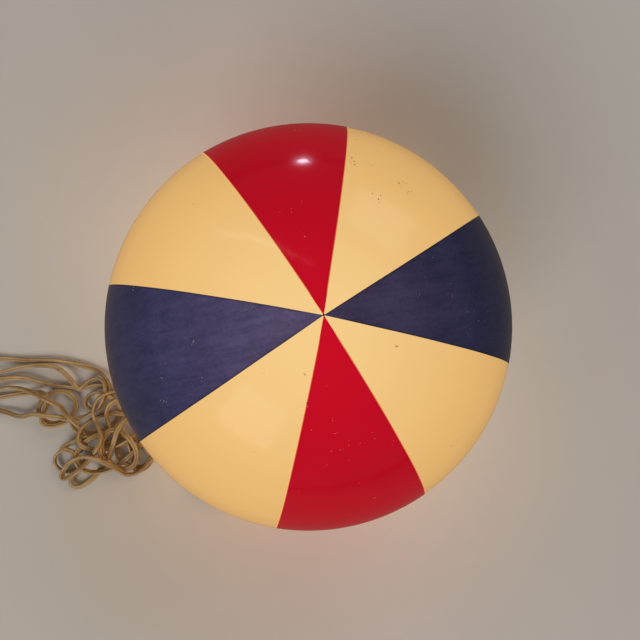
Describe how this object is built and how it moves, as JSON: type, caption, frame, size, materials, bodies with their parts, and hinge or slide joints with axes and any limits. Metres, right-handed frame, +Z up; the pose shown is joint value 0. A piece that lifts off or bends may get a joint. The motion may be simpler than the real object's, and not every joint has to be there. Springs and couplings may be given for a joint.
{
  "type": "barber globe light",
  "caption": "Opal glass ball light with red and blue painted stripes, held by thumbscrews in a flanged holder, with a twin flex and plug.",
  "frame": {"origin": "centre of the base's underside, on the globe's axis", "axes": "+Z up along the globe's axis, from the base to the pole where the stripes meet; red stripes centred on +Y and -Y, blue on +X and -X; the flex leaves towards -X"},
  "size_m": [0.4452, 0.2714, 0.3022],
  "materials": {
    "opal_glass": "glossy milk glass, warm when lit from inside",
    "red_enamel": "glossy fired red enamel film on the glass, a little worn",
    "blue_enamel": "glossy fired dark blue enamel film, brushed and mottled",
    "holder_plating": "old nickel plate over spun steel, dulled",
    "nickel_steel": "nickel-plated, lightly worn",
    "zinc_steel": "zinc-plated sheet steel, dull",
    "brass": "plain brass, lightly tarnished",
    "porcelain": "white glaze",
    "rubber": "black moulded rubber",
    "flex_cover": "tan plastic twin flex, slightly shiny",
    "black_plastic": "black moulded plastic",
    "brown_plastic": "dark brown moulded plug",
    "fibre_board": "pressed fibre plate",
    "frosted_glass": "inside-frosted bulb glass",
    "clear_glass": "clear lamp glass",
    "bulb_cap_metal": "drawn aluminium lamp cap",
    "black_glass": "black glass insulator",
    "solder": "dull solder",
    "lead_wire": "nickel wire",
    "tungsten": "glowing coil",
    "nylon": "natural nylon"
  },
  "bodies": {
    "base": {"base_gasket": "rubber", "base_plate": "zinc_steel", "globe_holder": "holder_plating", "holder_screws": "nickel_steel", "screw_bosses": "holder_plating", "neck_gasket": "rubber", "crossbar": "zinc_steel", "crossbar_screws": "nickel_steel", "nipple": "zinc_steel", "nipple_locknuts": "zinc_steel", "lampholder_cap": "nickel_steel", "lampholder_cap_screws": "brass", "lampholder_body": "porcelain", "lampholder_screw_shell": "brass", "lampholder_centre_contact": "brass", "terminal_screws": "brass", "supply_leads": "flex_cover", "cord_bushing": "black_plastic", "cord_lead": "flex_cover", "cord_hank": "flex_cover", "cord_tail": "flex_cover", "plug_body": "brown_plastic", "plug_cover": "fibre_board", "plug_blades": "brass", "plug_terminal_screws": "brass"},
    "globe": {"glass_globe": "opal_glass", "red_panels": "red_enamel", "blue_panels": "blue_enamel"},
    "lamp": {"bulb_glass": "frosted_glass", "bulb_cap": "bulb_cap_metal", "bulb_insulator": "black_glass", "bulb_contact": "solder", "bulb_stem": "clear_glass", "bulb_lead_wires": "lead_wire", "bulb_filament": "tungsten"},
    "tip_1": {"thumbscrew_tip_1": "nylon"},
    "screw_1": {"thumbscrew_1": "nickel_steel"},
    "tip_2": {"thumbscrew_tip_2": "nylon"},
    "screw_2": {"thumbscrew_2": "nickel_steel"},
    "tip_3": {"thumbscrew_tip_3": "nylon"},
    "screw_3": {"thumbscrew_3": "nickel_steel"}
  },
  "joints": [
    {"name": "globe_turn", "type": "hinge", "parent": "base", "child": "globe", "pos_m": [0, 0, 0.175], "axis": [0, 0, 1], "continuous": true},
    {"name": "lamp_turn", "type": "hinge", "parent": "base", "child": "lamp", "pos_m": [0, 0, 0.066], "axis": [0, 0, 1], "range_deg": [0, 1620]},
    {"name": "screw_1_travel", "type": "slide", "parent": "base", "child": "tip_1", "axis": [1, 0, 0], "range_m": [0, 0.00635]},
    {"name": "screw_1_turn", "type": "hinge", "parent": "tip_1", "child": "screw_1", "pos_m": [0.06, 0, 0.047], "axis": [1, 0, 0], "range_deg": [0, 2881]},
    {"name": "screw_2_travel", "type": "slide", "parent": "base", "child": "tip_2", "axis": [-0.5, 0.866, 0], "range_m": [0, 0.00635]},
    {"name": "screw_2_turn", "type": "hinge", "parent": "tip_2", "child": "screw_2", "pos_m": [-0.03, 0.05196, 0.047], "axis": [-0.5, 0.866, 0], "range_deg": [0, 2881]},
    {"name": "screw_3_travel", "type": "slide", "parent": "base", "child": "tip_3", "axis": [-0.5, -0.866, 0], "range_m": [0, 0.00635]},
    {"name": "screw_3_turn", "type": "hinge", "parent": "tip_3", "child": "screw_3", "pos_m": [-0.03, -0.05196, 0.047], "axis": [-0.5, -0.866, 0], "range_deg": [0, 2881]}
  ],
  "couplings": [
    {"joint": "screw_1_turn", "follows": "screw_1_travel", "rad_per_m": 7915.8},
    {"joint": "screw_2_turn", "follows": "screw_2_travel", "rad_per_m": 7915.8},
    {"joint": "screw_3_turn", "follows": "screw_3_travel", "rad_per_m": 7915.8}
  ]
}
